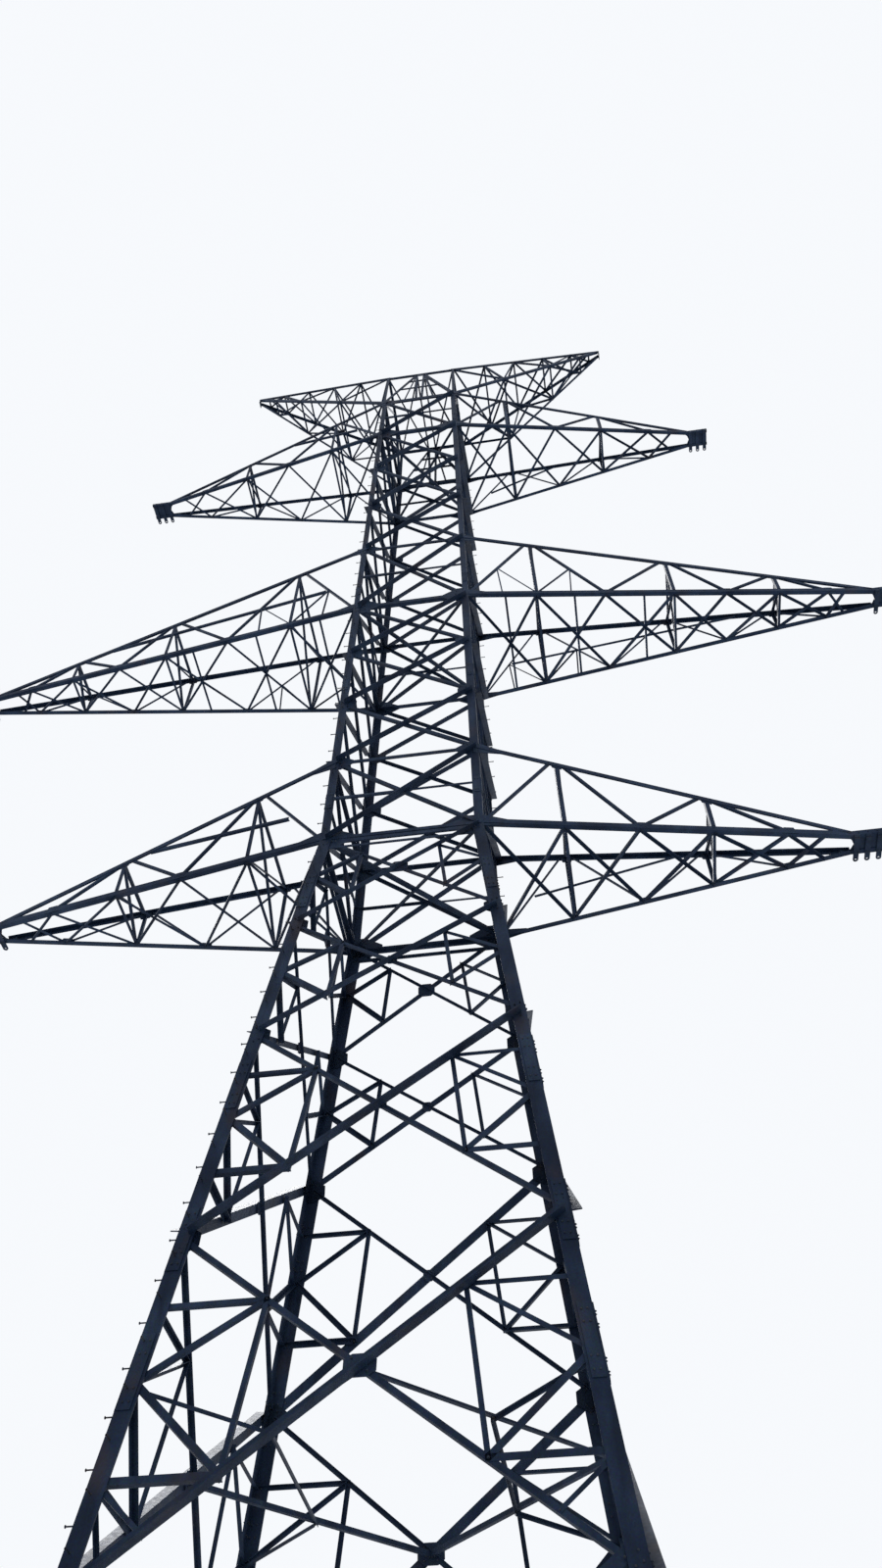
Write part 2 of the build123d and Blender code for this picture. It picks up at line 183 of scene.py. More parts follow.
def galvanised_in_painted_shade(name, dark, light, rust, streak):
    """Weathered zinc: patches and streaks of two greys, fine spangle and a little brown. The two greys are
    painted shade: a dark navy for steel seen against the light, far darker than its own grey.
    """
    material = bpy.data.materials.new(name)
    material.use_nodes = True
    nodes, link = material.node_tree.nodes, material.node_tree.links.new
    shader = nodes["Principled BSDF"]
    place = nodes.new("ShaderNodeTexCoord")

    def noise(scale, detail, stretch=(1, 1, 1)):
        mapping = nodes.new("ShaderNodeMapping")
        put(mapping, {"Scale": stretch})
        texture = nodes.new("ShaderNodeTexNoise")
        put(texture, {"Scale": scale, "Detail": detail})
        link(place.outputs["Object"], mapping.inputs["Vector"])
        link(mapping.outputs["Vector"], texture.inputs["Vector"])
        return texture.outputs["Fac"]

    def ramp(source, start, end, low=(0, 0, 0), high=(1, 1, 1)):
        node = nodes.new("ShaderNodeValToRGB")
        stops = node.color_ramp.elements
        stops[0].position, stops[1].position = start, end
        stops[0].color, stops[1].color = (*low, 1), (*high, 1)
        link(source, node.inputs["Fac"])
        return node.outputs["Color"]

    def mix(share, a, b, blend="MIX"):
        node = nodes.new("ShaderNodeMix")
        node.data_type, node.blend_type = "RGBA", blend
        for socket, value in ((node.inputs["Factor"], share), (node.inputs["A"], a), (node.inputs["B"], b)):
            if isinstance(value, bpy.types.NodeSocket):
                link(value, socket)
            else:
                socket.default_value = value
        return node.outputs["Result"]

    # The two greys are painted shade: dark navy, as the steel looks against the light, not its own grey
    zinc_in_painted_shade = ramp(noise(scale=1.7, detail=5), start=0.36, end=0.66, low=dark, high=light)
    streaks = ramp(noise(scale=9, detail=3, stretch=(1, 1, 0.12)), start=0.42, end=0.70)
    streaks = mix(streak, BLACK, streaks)
    zinc_in_painted_shade = mix(streaks, zinc_in_painted_shade, (*[STREAK_SHADE * share for share in dark], 1))
    spangle = nodes.new("ShaderNodeTexVoronoi")
    put(spangle, {"Scale": SPANGLE_SCALE})
    link(place.outputs["Object"], spangle.inputs["Vector"])
    zinc_in_painted_shade = mix(SPANGLE, zinc_in_painted_shade, spangle.outputs["Color"], "SOFT_LIGHT")
    stain = ramp(noise(scale=3.1, detail=6, stretch=(1, 1, 0.5)), start=0.60 - 0.10 * rust, end=0.72)
    stain = mix(rust, BLACK, stain)
    link(mix(stain, zinc_in_painted_shade, BROWN), shader.inputs["Base Color"])
    rough = nodes.new("ShaderNodeMapRange")
    put(rough, {"To Min": SMOOTHEST, "To Max": ROUGHEST})
    link(noise(scale=23, detail=4), rough.inputs["Value"])
    link(rough.outputs["Result"], shader.inputs["Roughness"])
    bump = nodes.new("ShaderNodeBump")
    put(bump, {"Strength": BUMP, "Distance": BUMP_HEIGHT})
    link(noise(scale=60, detail=4), bump.inputs["Height"])
    link(bump.outputs["Normal"], shader.inputs["Normal"])
    put(shader, {"Metallic": METALLIC, "Specular IOR Level": SPECULAR})
    return material


# The dark and light greys of every steel below are painted shade, a dark navy for steel seen against the
# light; the rust and streaks are the steel's own
leg_steel = galvanised_in_painted_shade("leg_steel", (0.005, 0.012, 0.031), (0.016, 0.030, 0.062), 0.35, 0.7)
bracing_steel = galvanised_in_painted_shade("bracing_steel", (0.005, 0.013, 0.033), (0.018, 0.033, 0.066), 0.30, 0.6)
arm_steel = galvanised_in_painted_shade("arm_steel", (0.004, 0.012, 0.033), (0.015, 0.031, 0.066), 0.25, 0.5)
plate_steel = galvanised_in_painted_shade("plate_steel", (0.006, 0.014, 0.034), (0.020, 0.036, 0.068), 0.35, 0.5)
bolt_steel = galvanised_in_painted_shade("bolt_steel", (0.016, 0.023, 0.038), (0.050, 0.060, 0.078), 0.75, 0.3)
base_steel = galvanised_in_painted_shade("base_steel", (0.010, 0.016, 0.030), (0.034, 0.043, 0.060), 0.80, 0.8)

# Steelwork that repeats


def scaled_copies(name):
    """A node tree that sets a shape on every point, turned and scaled by the point's attributes."""
    tree = bpy.data.node_groups.new(name, "GeometryNodeTree")
    kinds = {"Points": "Geometry", "Shape": "Object", "Scale": "Float", "Finish": "Material"}
    sockets = {}
    for label, kind in kinds.items():
        sockets[label] = tree.interface.new_socket(label, in_out="INPUT", socket_type=f"NodeSocket{kind}")
    tree.interface.new_socket("Steel", in_out="OUTPUT", socket_type="NodeSocketGeometry")
    nodes, link = tree.nodes, tree.links.new
    given, result = nodes.new("NodeGroupInput"), nodes.new("NodeGroupOutput")

    def attribute(label):
        node = nodes.new("GeometryNodeInputNamedAttribute")
        node.data_type = "FLOAT_VECTOR"
        put(node, {"Name": label})
        return node.outputs["Attribute"]

    turn = None
    for axis, pivot, label in (("Z", "AUTO", "along"), ("Y", "Z", "face")):
        align = nodes.new("FunctionNodeAlignRotationToVector")
        align.axis, align.pivot_axis = axis, pivot
        link(attribute(label), align.inputs["Vector"])
        if turn:
            link(turn, align.inputs["Rotation"])
        turn = align.outputs["Rotation"]
    scale = nodes.new("ShaderNodeVectorMath")
    scale.operation = "SCALE"
    link(attribute("sizes"), scale.inputs[0])
    link(given.outputs["Scale"], scale.inputs["Scale"])
    shape = nodes.new("GeometryNodeObjectInfo")
    put(shape, {"As Instance": True})
    link(given.outputs["Shape"], shape.inputs["Object"])
    copies = nodes.new("GeometryNodeInstanceOnPoints")
    link(given.outputs["Points"], copies.inputs["Points"])
    link(shape.outputs["Geometry"], copies.inputs["Instance"])
    link(turn, copies.inputs["Rotation"])
    link(scale.outputs["Vector"], copies.inputs["Scale"])
    real = nodes.new("GeometryNodeRealizeInstances")
    link(copies.outputs["Instances"], real.inputs["Geometry"])
    coat = nodes.new("GeometryNodeSetMaterial")
    link(real.outputs["Geometry"], coat.inputs["Geometry"])
    link(given.outputs["Finish"], coat.inputs["Material"])
    link(coat.outputs["Geometry"], result.inputs["Steel"])
    return tree, {label: socket.identifier for label, socket in sockets.items()}


copier, copier_inputs = scaled_copies("scaled_copies")


def add_prism(shape, near, far):
    """Adds a closed prism between two like outlines."""
    near = [shape.verts.new(corner) for corner in near]
    far = [shape.verts.new(corner) for corner in far]
    shape.faces.new(near)
    shape.faces.new(far[::-1])
    for n in range(len(near)):
        m = (n + 1) % len(near)
        shape.faces.new((near[m], near[n], far[n], far[m]))


def mesh_of(shape, name):
    """The mesh of a finished shape, whose memory is freed."""
    mesh = bpy.data.meshes.new(name)
    shape.to_mesh(mesh)
    shape.free()
    return mesh


def prism(name, outlines):
    """An object of upright prisms, each from its outline and its lowest and highest z."""
    shape = bmesh.new()
    for outline, low, high in outlines:
        add_prism(shape, [(x, y, high) for x, y in outline], [(x, y, low) for x, y in outline])
    return bpy.data.objects.new(name, mesh_of(shape, name))


def polygon(sides, radius):
    """The corners of a regular outline."""
    turns = [2 * math.pi * n / sides for n in range(sides)]
    return [(radius * math.cos(turn), radius * math.sin(turn)) for turn in turns]


# Shapes to be scaled: an angle with flanges and length of 1, a bolt's head with the end of a shank,
# and a step bolt 1 long and 1 thick with a nut and a head
ANGLE_OUTLINE = (0, 0), (1, 0), (1, WALL_SHARE), (WALL_SHARE, WALL_SHARE), (WALL_SHARE, 1), (0, 1)
unit_angle = prism("unit_angle", [(ANGLE_OUTLINE, 0, 1)])
unit_bolt = prism("unit_bolt", [(polygon(6, 1.0), -0.2, 0.9), (polygon(6, 0.55), 0.9, 1.5)])
unit_step = prism(
    "unit_step",
    [(polygon(8, 0.5), 0, 1.0), (polygon(6, 0.95), 0, 0.10), (polygon(6, 0.95), 0.92, 1.0)],
)


def spread(shape, rows, finish):
    """The mesh of a shape set on rows of (place, along, face, sizes)."""
    mesh = bpy.data.meshes.new("points")
    mesh.from_pydata([row[0] for row in rows], [], [])
    for column, label in enumerate(("along", "face", "sizes"), 1):
        values = mesh.attributes.new(label, "FLOAT_VECTOR", "POINT").data
        values.foreach_set("vector", [number for row in rows for number in row[column]])
    points = placed("points", mesh)
    bpy.context.collection.objects.link(shape)
    modifier = points.modifiers.new("copies", "NODES")
    modifier.node_group = copier
    modifier[copier_inputs["Shape"]] = shape
    modifier[copier_inputs["Scale"]] = 1.0
    modifier[copier_inputs["Finish"]] = finish
    graph = bpy.context.evaluated_depsgraph_get()
    plain = bpy.data.meshes.new_from_object(points.evaluated_get(graph))
    bpy.data.objects.remove(points)
    bpy.context.collection.objects.unlink(shape)
    return plain


class Steelwork:
    """One piece of the tower: rolled angles, flat plates and bolts that become one mesh."""

    def __init__(self, name):
        self.name = name
        self.angles, self.plates, self.bolts, self.steps = [], [], [], []

    def angle(self, start, end, face, size, bolted=2, lap=0.0):
        """An angle whose flat flange is centred on a line; the other stands at its edge, towards face."""
        length = (end - start).length
        along = (end - start) / length
        start, end = start - along * lap, end + along * lap
        face = (face - along * face.dot(along)).normalized()
        heel = face.cross(along) * (-size / 2)
        self.angles.append((start + heel, along, face, (size, size, length + 2 * lap)))
        for place, way in ((start, along), (end, -along)):
            for n in range(bolted):
                self.bolt(place + way * size * (FIRST_BOLT + BOLT_PITCH * n), face, size)

    def edge(self, start, end, flat, face, size):
        """An angle whose heel lies on a line, with one flange along flat and the other along face."""
        if face.cross(end - start).dot(flat) < 0:
            start, end = end, start
        along = (end - start).normalized()
        face = (face - along * face.dot(along)).normalized()
        self.angles.append((start, along, face, (size, size, (end - start).length)))

    def bolt(self, place, face, size, grip=None):
        """A head behind the place and a nut before it."""
        radius = min(BOLT, BOLT_SHARE * size)
        grip = WALL_SHARE * size if grip is None else grip
        side = face.orthogonal().normalized()
        for spot, way in ((place, -face), (place + face * grip, face)):
            self.bolts.append((spot, way, side, (radius, radius, radius)))

    def plate(self, corners, face, thickness=PLATE):
        """A flat plate from its corners, thickened towards face."""
        self.plates.append(([Vector(corner) for corner in corners], face.normalized() * thickness))

    def plates_mesh(self):
        """All plates as one mesh, with its faces outwards."""
        shape = bmesh.new()
        for corners, depth in self.plates:
            add_prism(shape, corners, [corner + depth for corner in corners])
        bmesh.ops.recalc_face_normals(shape, faces=shape.faces)
        return mesh_of(shape, "plates")

    def assemble(self, replaced=(), steel=bracing_steel):
        """Joins the collected parts, the angles in a steel of their own, and hands the piece to the frame."""
        parts = []
        for rows, shape, finish in (
            (self.angles, unit_angle, steel),
            (self.bolts, unit_bolt, bolt_steel),
            (self.steps, unit_step, bolt_steel),
        ):
            if rows:
                parts.append((spread(shape, rows, finish), finish))
        if self.plates:
            parts.append((self.plates_mesh(), plate_steel))
        whole = bmesh.new()
        finishes = []
        for mesh, finish in parts:
            if finish not in finishes:
                finishes.append(finish)
            mesh.polygons.foreach_set("material_index", [finishes.index(finish)] * len(mesh.polygons))
            whole.from_mesh(mesh)
        piece = placed(self.name, mesh_of(whole, self.name))
        for finish in finishes:
            piece.data.materials.append(finish)
        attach(piece, "root")
        if replaced:
            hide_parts(*replaced)


# The tower's sides


class Face:
    """A side of the tower seen from outside: x to the right, z up and depth inwards.

    Its lead is the hand that the outer diagonals rise to, which mirrors opposite sides.
    """

    def __init__(self, quarter, half_x, half_y, wall, gauge):
        self.turn = Matrix.Rotation(math.radians(90 * quarter), 3, "Z")
        self.half, self.reach = (half_y, half_x) if quarter % 2 else (half_x, half_y)
        self.wall, self.gauge = wall, gauge
        self.lead = 1 if quarter < 2 else -1
        lean = (self.reach(HEAD_TOP) - self.reach(0)) / HEAD_TOP
        self.inward = self.turn @ Vector((0, 1, lean)).normalized()

    def point(self, x, z, depth=0.0):
        """A place in space from a point of the side."""
        return self.turn @ Vector((x, depth - self.reach(z), z))

    def node(self, hand, z):
        """A point on the bolt line of a leg."""
        return hand * (self.half(z) - self.gauge), z

    def bar(self, work, a, b, size, inside=True, bolted=2, sunk=0.0, lap=0.0):
        """An angle against the inner or the outer face of the legs' flanges."""
        depth = self.wall - sunk if inside else -sunk
        way = self.inward if inside else -self.inward
        work.angle(self.point(*a, depth), self.point(*b, depth), way, size, bolted, lap)

    def diagonals(self, work, low, high, outer, inner):
        """A panel's crossed angles: one outside the legs' flanges and a lighter one inside them."""
        self.bar(work, self.node(-self.lead, low), self.node(self.lead, high), outer, inside=False)
        self.bar(work, self.node(self.lead, low), self.node(-self.lead, high), inner)

    def gusset(self, work, hand, z, width, height, tail):
        """A plate inside a leg's flange that tapers inwards to its tail's height."""
        low, high = z - height / 2, z + height / 2
        corners = [(hand * (self.half(level) - EDGE), level) for level in (low, high)]
        shoulder, tip = (hand * (self.half(z) - share * width) for share in (GUSSET_SHOULDER, 1))
        corners += [(shoulder, high), (tip, z + tail / 2), (tip, z - tail / 2), (shoulder, low)]
        work.plate([self.point(*corner, self.wall + CLEARANCE) for corner in corners], self.inward)
        for across, row in GUSSET_BOLTS:
            x = hand * (self.half(z) - across * width - GUSSET_BOLT_INSET)
            work.bolt(self.point(x, z + row * height), self.inward, BRACE, self.wall + PLATE)

    def crossing_plate(self, work, z, wide, tall):
        """An eight-sided plate between two diagonals where they cross, with its bolts."""
        plate = [self.point(x * wide, z + y * tall, CROSSING_DEPTH) for x, y in CROSSING_CORNERS]
        work.plate(plate, self.inward, LEG_WALL - CROSSING_DEPTH - CLEARANCE)
        for x, y in CROSSING_BOLTS:
            work.bolt(self.point(x * wide, z + y * tall), self.inward, BRACE, LEG_WALL)


def crossing(face, low, high):
    """The height at which a panel's diagonals cross."""
    a, b = face.node(1, low)[0], face.node(1, high)[0]
    return low + (high - low) * a / (a + b)


def on_line(a, b, share):
    """A point of a side on the line between two others."""
    return a[0] + (b[0] - a[0]) * share, a[1] + (b[1] - a[1]) * share


SIDES = ("near", "right", "far", "left")


def body_side(quarter):
    """A side of the body."""
    return Face(quarter, body_half, body_half, LEG_WALL, BODY_GAUGE)


def body_angles(quarter):
    """A side of the body: its crossed panels, the struts at its foot and waist, and the finer bars."""
    face = body_side(quarter)
    work = Steelwork(f"body_angles_{SIDES[quarter]}")
    for panel, (low, high) in enumerate(zip(BODY_LEVELS, BODY_LEVELS[1:])):
        foot = low + BODY_FOOT_RISE
        middle = crossing(face, foot, high)
        face.diagonals(work, foot, high, *BODY_BRACES[panel])
        face.crossing_plate(work, middle, *CROSSING_PLATES[panel])
        for hand in (-1, 1):
            for z in (low, high):
                face.gusset(work, hand, z, *PANEL_GUSSET)
            redundants(face, work, hand, foot, middle, high, panel)
    strut(face, work, BASE_PANEL, STRUT, 1, STRUT_GUSSET)
    strut(face, work, WAIST, STRUT, -1)
    for hand in (-1, 1):
        face.gusset(work, hand, WAIST + WAIST_GUSSET_RISE, *WAIST_GUSSET)
    tie = WAIST - WAIST_TIE_DROP
    face.bar(work, face.node(-1, tie), face.node(1, tie), TIE, sunk=BODY_TIE_SUNK)
    work.assemble([f"body_bracing_{SIDES[quarter]}"])


def strut(face, work, level, size, way, gusset=None):
    """A strut inside the legs' flanges with its heel on a level, and gussets where their size is given."""
    z = level + way * size / 2
    face.bar(work, face.node(way, z), face.node(-way, z), size, bolted=3)
    if gusset:
        for hand in (-1, 1):
            face.gusset(work, hand, z, *gusset, size * STRUT_TAIL_SHARE)


def redundants(face, work, hand, low, middle, high, panel):
    """The finer bars that hold a leg and the half diagonals of a body panel."""
    centre = (0, middle)
    upper = on_line(centre, face.node(hand, high), 0.5)
    lower = on_line(centre, face.node(hand, low), 0.5)
    leg = face.node(hand, middle)
    bars = [(upper, leg, LIGHT_TIE), (lower, leg, STOUT_TIE), (upper, lower, LIGHT_TIE)]
    if panel < 2:
        bars += [(upper, face.node(hand, upper[1]), LIGHT_TIE), (lower, face.node(hand, lower[1]), STOUT_TIE)]
    if panel == 0:
        foot = on_line(lower, face.node(hand, low), 0.5)
        bars.append((foot, face.node(hand, lower[1] - LOW_TIE_DROP), TIE))
    for a, b, size in bars:
        face.bar(work, a, b, size, bolted=1, sunk=BODY_TIE_SUNK, lap=TIE_LAP)


# The lowest panel: half the gap in a V's top, rise of the gussets, and ties as shares of bar and height
BASE_APEX_HALF, BASE_GUSSET_RISE = 0.03, 0.05
BASE_TIES = ((1 / 3, 2 / 3), (2 / 3, 1))


def base_corner(sx, sy, name):
    """The halves of the inverted V's that meet round one foot, on the two sides of the tower there."""
    work = Steelwork(f"base_angles_{name}")
    for quarter, hand in ((0 if sy < 0 else 2, -sx * sy), (1 if sx > 0 else 3, sx * sy)):
        face = body_side(quarter)
        toe = face.node(hand, LEG_FOOT + LEG_FLANGE)
        apex = (hand * BASE_APEX_HALF, BASE_PANEL)
        face.bar(work, toe, apex, BRACE)
        face.gusset(work, hand, toe[1] + BASE_GUSSET_RISE, *BASE_GUSSET)
        for share, above in BASE_TIES:
            point = on_line(toe, apex, share)
            for level in (point[1], toe[1] + above * (BASE_PANEL - toe[1]) - TIE):
                end = face.node(hand, level)
                face.bar(work, point, end, TIE, bolted=1, sunk=BODY_TIE_SUNK, lap=TIE_LAP)
    work.assemble([f"base_bracing_{name}"])


def head_angles(quarter):
    """A side of the head: its crossed panels, the struts at the crossarms and the finer bars."""
    face = Face(quarter, head_half, head_depth, HEAD_WALL, HEAD_GAUGE)
    work = Steelwork(f"head_angles_{SIDES[quarter]}")
    for low, high in zip(HEAD_LEVELS, HEAD_LEVELS[1:]):
        foot = low + HEAD_FOOT_RISE
        middle = crossing(face, foot, high)
        face.diagonals(work, foot, high, HEAD_BRACE, HEAD_INNER_BRACE)
        work.bolt(face.point(0, middle), face.inward, HEAD_BRACE, HEAD_WALL)
        if low in [arm[0] for arm in ARMS.values()]:
            for hand in (-1, 1):
                face.bar(work, (0, middle), face.node(hand, middle), TIE, bolted=1, sunk=HEAD_TIE_SUNK)
    for bottom, top, *_ in ARMS.values():
        if bottom > WAIST:
            strut(face, work, bottom, HEAD_STRUT, 1, HEAD_STRUT_GUSSET)
        strut(face, work, top, LIGHT_STRUT, -1, LIGHT_STRUT_GUSSET)
    for level in HEAD_LEVELS[2:4] + HEAD_LEVELS[6:8]:
        for hand in (-1, 1):
            face.gusset(work, hand, level, *HEAD_GUSSET)
    work.assemble([f"head_bracing_{SIDES[quarter]}"])


# Level frames: flange, rise over the chords, and insets from the legs' corners
FRAME_FLANGE, FRAME_RISE, FRAME_INSET, HIP_INSET = 0.05, 0.01, 0.04, 0.03


def plan_frame(name, bottom):
    """A level frame with crossed angles inside the tower, at the low chords of a pair of crossarms."""
    work = Steelwork(f"{name}_plan_frame")
    x, y, z = head_half(bottom) - FRAME_INSET, WAIST_HALF - FRAME_INSET, bottom + FRAME_RISE
    corners = [Vector((sx * x, sy * y, z)) for sx, sy in SQUARE]
    for a, b in zip(corners, corners[1:] + corners[:1]):
        work.angle(a, b, UP, FRAME_FLANGE)
    work.angle(corners[0], corners[2], UP, FRAME_FLANGE)
    work.angle(corners[1], corners[3], -UP, FRAME_FLANGE)
    work.assemble([f"{name}_diaphragm"])


def hip_frame():
    """A level diamond that joins the crossings of neighbouring sides, tied to the legs and across."""
    work = Steelwork("hip_frame")
    z = crossing(body_side(0), *BODY_LEVELS[:2])
    half = body_half(z) - HIP_INSET
    middles = [Vector(spot) for spot in ((0, -half, z), (half, 0, z), (0, half, z), (-half, 0, z))]
    legs = [Vector((sx * half, sy * half, z)) for sx, sy in SQUARE[1:] + SQUARE[:1]]
    joints = []
    for a, b, leg in zip(middles, middles[1:] + middles[:1], legs):
        joints.append((a + b) / 2)
        work.angle(b, a, UP, HIP_BRACE)
        work.angle(joints[-1], leg, -UP, TIE, bolted=1)
    for a, b in (joints[:2], joints[2:]):
        work.angle(a, b, -UP, TIE, bolted=1)
    work.assemble()


# Crossarms, earthwire arms and peak

# Wedges at a crossarm's roots, with the shares of reach and height that lie behind and below
ROOT_REACH, ROOT_HEIGHT, ROOT_BACK, ROOT_DROP = 0.34, 0.17, 0.2, 0.3
ROOT_BOLTS, ROOT_BOLT_RISE = (0.2, 0.45, 0.7), 0.035

# Small plates at the chords' nodes: length and height, thickness, and shares for their tops and bolts
ARM_PLATE, HORN_FOOT_PLATE, HORN_HEAD_PLATE = (0.20, 0.11), (0.16, 0.05), (0.10, 0.05)
THIN_PLATE, THIN_TOP = 0.6 * PLATE, 0.6
THIN_BOLTS, THIN_BOLT_RISE, THIN_BOLT_SHARE = (-0.6, 0.6), 0.3, 0.7


def inwards(top):
    """The way from a low or a top chord to the other."""
    return -UP if top else UP


class Arm:
    """Four chords that taper to a tip, on the right-hand side or, with hand -1, on the left."""

    def __init__(self, hand, low_ends, high_ends, nodes, flanges):
        self.hand = hand
        self.ends = [[Vector(end) for end in ends] for ends in (low_ends, high_ends)]
        self.nodes, self.flanges = nodes, flanges
        low, high = self.ends
        normal = (low[1] - low[0]).cross(high[0] - low[0]).normalized()
        self.inward_near = normal if normal.y > 0 else -normal

    def place(self, vector, side):
        """A point or a way of the near right side, moved to this arm's hand and side."""
        return Vector((self.hand * vector.x, -side * vector.y, vector.z))

    def inward(self, side):
        return self.place(self.inward_near, side)

    def at(self, share, top, side, lift=0.0, inset=0.0):
        """A point on a chord; lift raises it and inset moves it inside the side."""
        start, end = self.ends[top]
        point = start + (end - start) * share + UP * lift + self.inward_near * inset
        return self.place(point, side)

    def web_node(self, share, top, side):
        """A point on a chord's upright flange."""
        lift = self.flanges[top] * (-0.5 if top else 0.5)
        return self.at(share, top, side, lift, WALL_SHARE * self.flanges[top])

    def level_node(self, share, top, side):
        """A point on a chord's level flange."""
        lift = WALL_SHARE * self.flanges[top] * (-1 if top else 1)
        return self.at(share, top, side, lift, 0.5 * self.flanges[top])

    def chords(self, work, nose=0):
        """The four chords, the low ones with a parallel nose beyond their ends where it has a length."""
        for side in (1, -1):
            for top in (0, 1):
                start, end = self.at(-CHORD_OVERRUN, top, side), self.at(1, top, side)
                work.edge(start, end, inwards(top), self.inward(side), self.flanges[top])
                if nose and not top:
                    beyond = end + Vector((self.hand * nose, 0, 0))
                    work.edge(end, beyond, UP, self.place(Vector((0, 1, 0)), side), self.flanges[0])

    def web(self, work, side, finer):
        """The zigzag of a side from its low root, with uprights, and finer bars in its first parts."""
        shares = [0, *self.nodes]
        apart = WEB_GAP / (self.ends[1][1] - self.ends[1][0]).length
        for n, (a, b) in enumerate(zip(shares, shares[1:])):
            if n % 2:
                high, start, end = a, self.web_node(a + apart, 1, side), self.web_node(b, 0, side)
            else:
                high, start, end = b, self.web_node(a, 0, side), self.web_node(b - apart, 1, side)
            ends = (end, start) if self.hand * side < 0 else (start, end)
            work.angle(*ends, self.inward(side), WEB_BRACE, lap=WEB_LAP)
            foot, head = self.web_node(high, 0, side), self.web_node(high, 1, side)
            if not n % 2:
                work.angle(foot, head, self.inward(side), WEB_POST, lap=WEB_LAP)
            if n < finer:
                middle = (start + end) / 2
                below = self.web_node((a + b) / 2, 0, side)
                for target in (foot, below):
                    work.angle(middle, target, self.inward(side), WEB_TIE, bolted=1)

    def rail(self, work, side, share):
        """A long thin bar from the middle of the first web bar to a point on the top chord."""
        start = (self.web_node(0, 0, side) + self.web_node(self.nodes[0], 1, side)) / 2
        work.angle(start, self.web_node(share, 1, side), self.inward(side), RAIL, bolted=1)

    def crossed(self, work, a, b, top, size):
        """Two level bars that cross between the low or the top chords, one over the other."""
        for side in (1, -1):
            start, end = self.level_node(a, top, side), self.level_node(b, top, -side)
            work.angle(start, end, side * inwards(top), size)

    def spreader(self, work, share, top, size, bolted=2):
        """A level bar straight across between the low or the top chords."""
        start, end = self.level_node(share, top, 1), self.level_node(share, top, -1)
        work.angle(start, end, inwards(top), size, bolted)

    def floor(self, work, thin):
        """Crossed bars between the low chords, with bars across under the uprights and through crossings."""
        shares = [0, *self.nodes, LAST_CROSSED]
        for n, (a, b) in enumerate(zip(shares, shares[1:])):
            self.crossed(work, a, b, 0, FLOOR_BRACE)
            if n < thin:
                wide, narrow = abs(self.level_node(a, 0, 1).y), abs(self.level_node(b, 0, 1).y)
                self.spreader(work, a + (b - a) * wide / (wide + narrow), 0, TIE, bolted=1)
        for share in self.nodes[::2]:
            self.spreader(work, share, 0, FLOOR_BRACE)

    def frames(self, work):
        """Roof struts, and crossed bars over the section, at the top nodes."""
        out = Vector((self.hand, 0, 0))
        for share in self.nodes[::2]:
            near, far = self.web_node(share, 1, 1), self.web_node(share, 1, -1)
            work.angle(near, far, out, FLOOR_BRACE)
            work.angle(self.web_node(share, 0, 1), far, out, TIE, bolted=1)
            work.angle(self.web_node(share, 0, -1), near, -out, TIE, bolted=1)

    def along(self, top, side, length):
        """A length along a chord."""
        start, end = self.ends[top]
        return self.place((end - start).normalized() * length, side)

    def plate_point(self, share, top, side):
        """A point on a chord's edge, inside its upright flange."""
        return self.at(share, top, side, 0, WALL_SHARE * self.flanges[top] + CLEARANCE)

    def root_plates(self, work):
        """Wedges that run from the legs out along the four chords."""
        for side in (1, -1):
            for top in (0, 1):
                out, way = self.along(top, side, ROOT_REACH), inwards(top)
                foot = self.plate_point(0, top, side)
                back, tip = foot - out * ROOT_BACK, foot + out
                low_back, high_back = back - way * ROOT_DROP * ROOT_HEIGHT, back + way * ROOT_HEIGHT
                corners = [low_back, tip, tip + way * self.flanges[top], high_back]
                work.plate(corners, self.inward(side))
                for share in ROOT_BOLTS:
                    place = foot + out * share + way * ROOT_BOLT_RISE
                    work.bolt(place, self.inward(side), self.flanges[top], PLATE)

    def node_plates(self, work, nodes, length, height):
        """Small plates inside the chords' flanges, at rows of (share, top)."""
        for side in (1, -1):
            for share, top in nodes:
                half, rise = self.along(top, side, length / 2), inwards(top) * height
                middle = self.plate_point(share, top, side)
                upper, shoulder = middle + rise, half * THIN_TOP
                corners = [middle - half, middle + half, upper + shoulder, upper - shoulder]
                work.plate(corners, self.inward(side), THIN_PLATE)
                for step in THIN_BOLTS:
                    place = middle + half * step + rise * THIN_BOLT_RISE
                    work.bolt(place, self.inward(side), self.flanges[top] * THIN_BOLT_SHARE)


def crossarm(name, bottom, top, reach, nodes, rail, hand):
    """One tapering crossarm with its parallel nose."""
    root = Vector((head_half(bottom), -WAIST_HALF, bottom))
    tip = Vector((reach, -NOSE_HALF, bottom))
    back = (head_half(top) - root.x) / (tip.x - root.x)
    high_root = root + (tip - root) * back + UP * (top - bottom)
    high_tip = tip + UP * CHORD
    slimmer = UPPER_ARM_SHARE if name == "upper" else 1
    arm = Arm(hand, (root, tip), (high_root, high_tip), nodes, (CHORD * slimmer, TOP_CHORD * slimmer))
    side_name = "right" if hand > 0 else "left"
    work = Steelwork(f"{name}_crossarm_angles_{side_name}")
    finer, thin = (FINER_PARTS, THIN_PARTS) if name == "middle" else (0, 0)
    arm.chords(work, NOSE)
    for side in (1, -1):
        arm.web(work, side, finer)
    arm.rail(work, hand, rail)
    arm.floor(work, thin)
    arm.frames(work)
    arm.node_plates(work, [(share, 1 - n % 2) for n, share in enumerate(nodes)], *ARM_PLATE)
    arm.root_plates(work)
    nose_plates(work, hand, reach, bottom)
    work.assemble([f"{name}_crossarm_{side_name}"], arm_steel)


